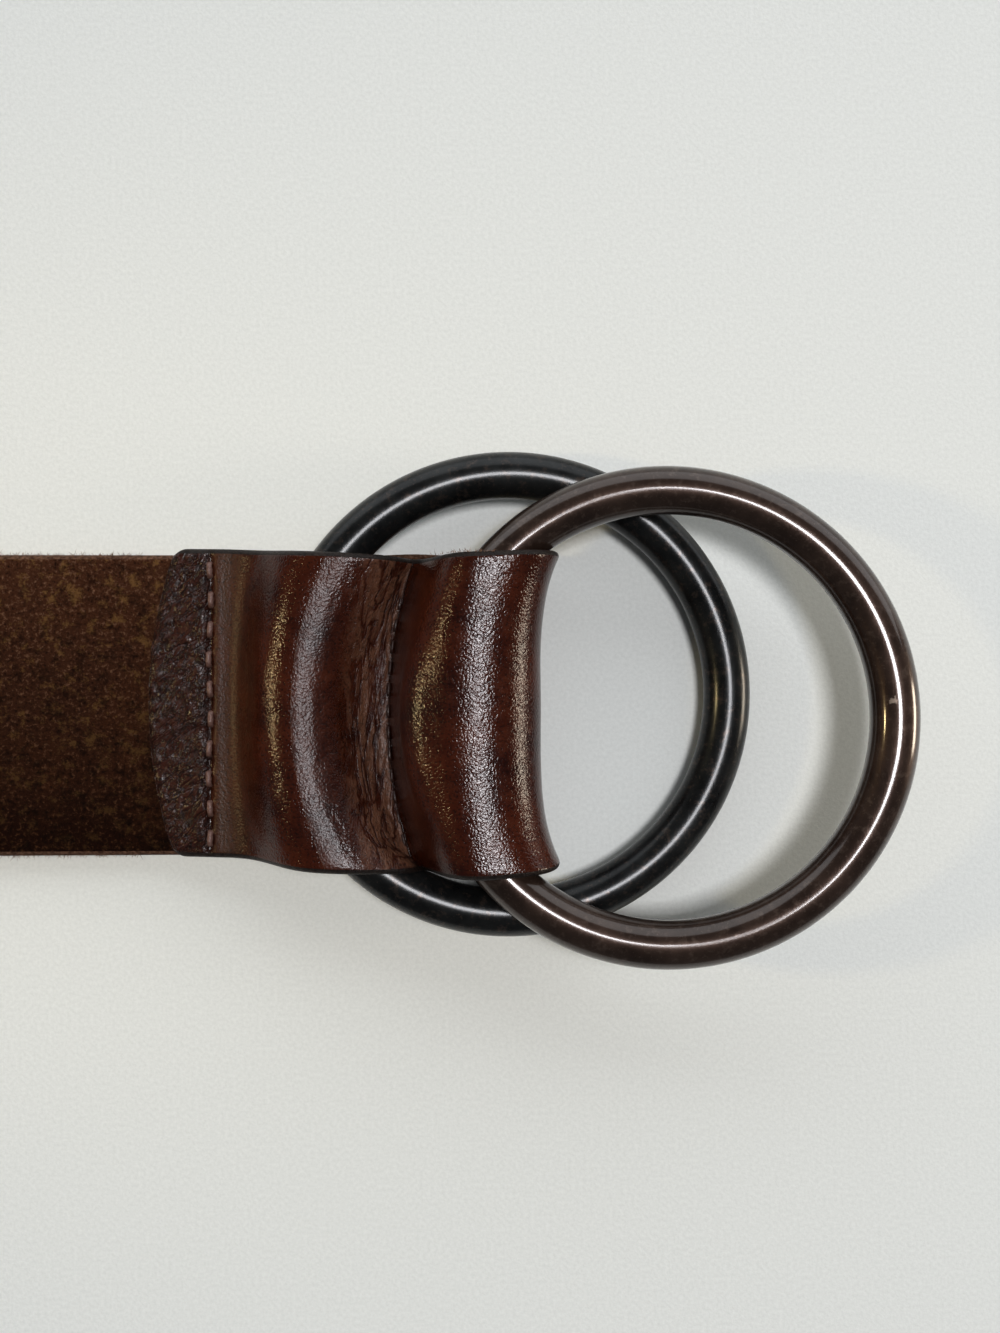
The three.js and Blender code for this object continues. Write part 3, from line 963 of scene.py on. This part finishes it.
def flesh_material():
    """Raw fibrous side: matt brown nap with lighter fibres, rusty patches and dark blotches, painted darker
    towards the lower edge as shade and lighter towards the upper edge as light, with painted shade in its
    pits.
    """
    material, tree = new_material("flesh_leather")
    where = coordinates(tree)
    across = node(tree, "ShaderNodeSeparateXYZ", {"Vector": where}).outputs[1]
    # painted light and shade: every colour below is darker towards the lower edge and lighter towards the
    # upper edge
    upper = ramp(tree, across, *NAP_PAINTED_LIGHT_SPAN)
    broad = noise(tree, where, scale=60, detail=4, rough=0.6)
    speck = noise(tree, where, scale=1300, detail=4, rough=0.75)
    rust = noise(tree, where, scale=420, detail=4, rough=0.75)
    blotch = noise(tree, where, scale=520, detail=4, rough=0.7)
    color = mix(tree, upper, *NAP)
    for share, layer in (
        (ramp(tree, broad, 0.5, 0.75, 0, 0.5), NAP_WARM),
        (ramp(tree, speck, 0.54, 0.66, 0, 0.9), mix(tree, upper, *NAP_LIGHT)),
        # painted shade in the nap's pits, where the bump below is lowest
        (ramp(tree, speck, 0.46, 0.30, 0, 0.9), NAP_PIT_SHADE),
        (ramp(tree, rust, 0.54, 0.65, 0, 0.85), mix(tree, upper, *NAP_RUST)),
        (ramp(tree, blotch, 0.48, 0.33, 0, 0.8), mix(tree, upper, *NAP_BLOTCH)),
    ):
        color = mix(tree, share, color, layer)
    fibre = noise(tree, where, scale=2100, detail=3, rough=0.7, stretch=(0.4, 1, 1))
    normal = bump(tree, speck, distance=0.0008, strength=0.9)
    normal = bump(tree, fibre, distance=0.0003, strength=0.7, normal=normal)
    finish_material(tree, color, 0.95, normal, Specular_IOR_Level=0.08)
    return material


def edge_material():
    """Cut edges: dark and burnished on the flap, raw and paler along the strap."""
    material, tree = new_material("leather_edge")
    flap = attribute(tree, "flap")
    fuzz = noise(tree, coordinates(tree), scale=1500, detail=4, rough=0.75)
    raw = mix(tree, ramp(tree, fuzz, 0.4, 0.68), *RAW_EDGE)
    burnished = mix(tree, ramp(tree, fuzz, 0.4, 0.7), *BURNISHED_EDGE)
    color = mix(tree, flap, raw, burnished)
    rough = ramp(tree, flap, 0, 1, start=0.95, end=0.4)
    normal = bump(tree, fuzz, distance=0.0003, strength=0.8)
    finish_material(tree, color, rough, normal, Specular_IOR_Level=0.25)
    return material


# A ring's nick, in metres
NICK_SIZE = 0.001
NICK_RIM = 0.00125
NICK_RAGGED = 0.0012
NICK_COLOR = (0.35, 0.28, 0.23)


def ring_material(name, dark, light, rough, wear, coat, coat_rough, nick):
    """Dark plated metal with a faint patina, fine scratches, worn specks and one nick."""
    material, tree = new_material(name)
    where = coordinates(tree)
    patina = noise(tree, where, scale=160, detail=4, rough=0.65)
    specks = noise(tree, where, scale=2600, detail=2, rough=0.6)
    rubs = noise(tree, where, scale=700, detail=3, rough=0.7)
    scratches = noise(tree, where, scale=1500, detail=3, rough=0.7, stretch=(1, 0.2, 1))
    color = mix(tree, ramp(tree, patina, 0.35, 0.68), dark, light)
    color = mix(tree, ramp(tree, specks, 0.66, 0.72, 0, 0.7), color, wear)
    color = mix(tree, ramp(tree, rubs, 0.54, 0.70, 0, 0.6), color, wear)
    away = node(tree, "ShaderNodeVectorMath", {0: where, 1: nick}, operation="DISTANCE").outputs["Value"]
    away = plus(tree, away, times(tree, noise(tree, where, scale=1800), NICK_RAGGED))
    color = mix(tree, ramp(tree, away, NICK_RIM, NICK_SIZE), color, NICK_COLOR)
    roughness = ramp(tree, patina, 0.3, 0.7, rough - 0.05, rough + 0.06)
    normal = bump(tree, scratches, distance=0.00007, strength=0.6)
    normal = bump(tree, specks, distance=0.00003, strength=0.5, normal=normal)
    finish_material(tree, color, roughness, normal, Metallic=0.5, Specular_IOR_Level=0.1,
                    Coat_Weight=coat, Coat_Roughness=coat_rough)
    return material


def thread_material(name, dark, light):
    material, tree = new_material(name)
    fuzz = noise(tree, coordinates(tree), scale=3000, detail=2, rough=0.6)
    normal = bump(tree, fuzz, distance=0.0002, strength=0.6)
    finish_material(tree, mix(tree, fuzz, dark, light), 0.36, normal)
    return material


def fibre_material():
    material, tree = new_material("raw_fibre")
    tint = noise(tree, coordinates(tree), scale=900, detail=2, rough=0.6)
    color = mix(tree, ramp(tree, tint, 0.35, 0.65), *RAW_FIBRE)
    normal = bump(tree, tint, distance=0.00001, strength=0.1)
    finish_material(tree, color, 0.9, normal, Specular_IOR_Level=0.1)
    return material


def floor_material():
    material, tree = new_material("pale_floor")
    weave = noise(tree, coordinates(tree), scale=1600, detail=2, rough=0.6)
    color = mix(tree, ramp(tree, weave, 0.3, 0.7), *FLOOR_COLORS)
    finish_material(tree, color, 0.9, bump(tree, weave, distance=0.0001, strength=0.3))
    return material


# Camera at the photo's angle, in millimetres from the centre of ring 1 and in degrees

FOCAL_PIXELS = 1250.0
PHOTO_HEIGHT = 1333.0
SENSOR = 36.0
CAMERA_PLACE = (-6.95, 2.68, 211.73)
CAMERA_TURN = (0.99, -1.396, -0.114)


def make_camera():
    data = bpy.data.cameras.new("camera")
    data.sensor_width = SENSOR
    data.lens = FOCAL_PIXELS * SENSOR / PHOTO_HEIGHT
    data.clip_start = 0.01
    data.clip_end = 20
    camera = bpy.data.objects.new("camera", data)
    camera.location = Vector((CAMERA_PLACE[0] + X0, CAMERA_PLACE[1], CAMERA_PLACE[2])) * MM
    camera.rotation_euler = Euler([math.radians(a) for a in CAMERA_TURN])
    bpy.context.scene.collection.objects.link(camera)
    bpy.context.scene.camera = camera


# Lights and floor, in metres and watts.
# A light has a name, two tilts off the vertical along X and Y in degrees, a distance, a size,
# a power, a colour and the angle that it spreads over.

LIGHTS = (
    ("lamp_above", (9, 3), 1.6, (0.36, 0.36), 12.8, (0.97, 0.97, 1), 180),
    ("bright_wall", (25, 68), 3.4, (11.0, 2.6), 128, (0.93, 0.97, 1), 180),
    ("window_low", (82, -5), 1.6, (0.4, 0.4), 0.85, (1, 0.88, 0.72), 60),
    ("warm_left", (-59, 3), 0.4, (0.03, 0.03), 0.018, (1, 0.8, 0.42), 50),
)
ROOM_COLOR = (0.8, 0.85, 0.9, 1)
ROOM_STRENGTH = 0.1
EXPOSURE = 0.32
GAMMA = 0.87
FLOOR_HALF = 3.3


def area_light(name, tilts, distance, size, power, color, spread):
    """A light that shines on ring 1 from one side and can't be seen by the camera."""
    data = bpy.data.lights.new(name, "AREA")
    data.shape = "RECTANGLE"
    data.size, data.size_y = size
    data.energy = power
    data.spread = math.radians(spread)
    data.color = color
    light = bpy.data.objects.new(name, data)
    light.visible_camera = False
    lean_x, lean_y = (math.tan(math.radians(tilt)) for tilt in tilts)
    direction = Vector((lean_x, lean_y, 1)).normalized()
    light.location = Vector((X0 * MM, 0, 0)) + direction * distance
    light.rotation_euler = (-direction).to_track_quat("-Z", "Y").to_euler()
    bpy.context.scene.collection.objects.link(light)


def make_lights():
    for light in LIGHTS:
        area_light(*light)
    world = bpy.data.worlds.new("soft_room")
    world.use_nodes = True
    background = world.node_tree.nodes["Background"]
    background.inputs["Color"].default_value = ROOM_COLOR
    background.inputs["Strength"].default_value = ROOM_STRENGTH
    bpy.context.scene.world = world
    view_settings = bpy.context.scene.view_settings
    view_settings.view_transform = "Standard"
    view_settings.exposure = EXPOSURE
    view_settings.gamma = GAMMA


def make_floor():
    size = FLOOR_HALF
    points = [(-size, -size, 0), (size, -size, 0), (size, size, 0), (-size, size, 0)]
    floor = make_mesh("floor", points, [(0, 1, 2, 3)], [floor_material()])


make_camera()
strap, surface = make_strap([grain_material(), flesh_material(), edge_material()])
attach(strap, "root")
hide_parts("strap")
end_places, middle_places = end_seam_places(), middle_seam_places()
# the end seam's thread, lightened with a painted glint
thread = thread_material("thread", *THREAD_AND_GLINT_COLORS)
# painted shade: the middle seam's thread darkened like its crease
shaded_thread = thread_material("shaded_thread", *SHADED_THREAD_COLORS)
make_thread("end_seam_thread", surface, end_places, thread, length=2.8, radius=0.5, sunk=-0.08)
make_thread("middle_seam_thread", surface, middle_places, shaded_thread, length=2.2, radius=0.24, sunk=0.15)
make_thread("end_seam_back_thread", surface, end_places, thread, length=3.5, radius=0.42, sunk=0.3,
            highest=False)
make_thread("middle_seam_back_thread", surface, middle_places, thread, length=2.2, radius=0.24, sunk=0.15,
            highest=False)
make_raw_fibres(surface, fibre_material())
gunmetal = ring_material("gunmetal", dark=(0.009, 0.0095, 0.010), light=(0.026, 0.027, 0.027), rough=0.3,
                         wear=(0.075, 0.055, 0.045), coat=0.4, coat_rough=0.2,
                         nick=ring_place(ring_one, 150))
bronze = ring_material("bronze", dark=(0.030, 0.0165, 0.0115), light=(0.056, 0.034, 0.025), rough=0.36,
                       wear=(0.10, 0.07, 0.055), coat=1.0, coat_rough=0.13,
                       nick=ring_place(ring_two, 4))
make_ring("ring_under", "ring_1", ring_one, gunmetal)
make_ring("ring_over", "ring_2", ring_two, bronze)
make_lights()
make_floor()
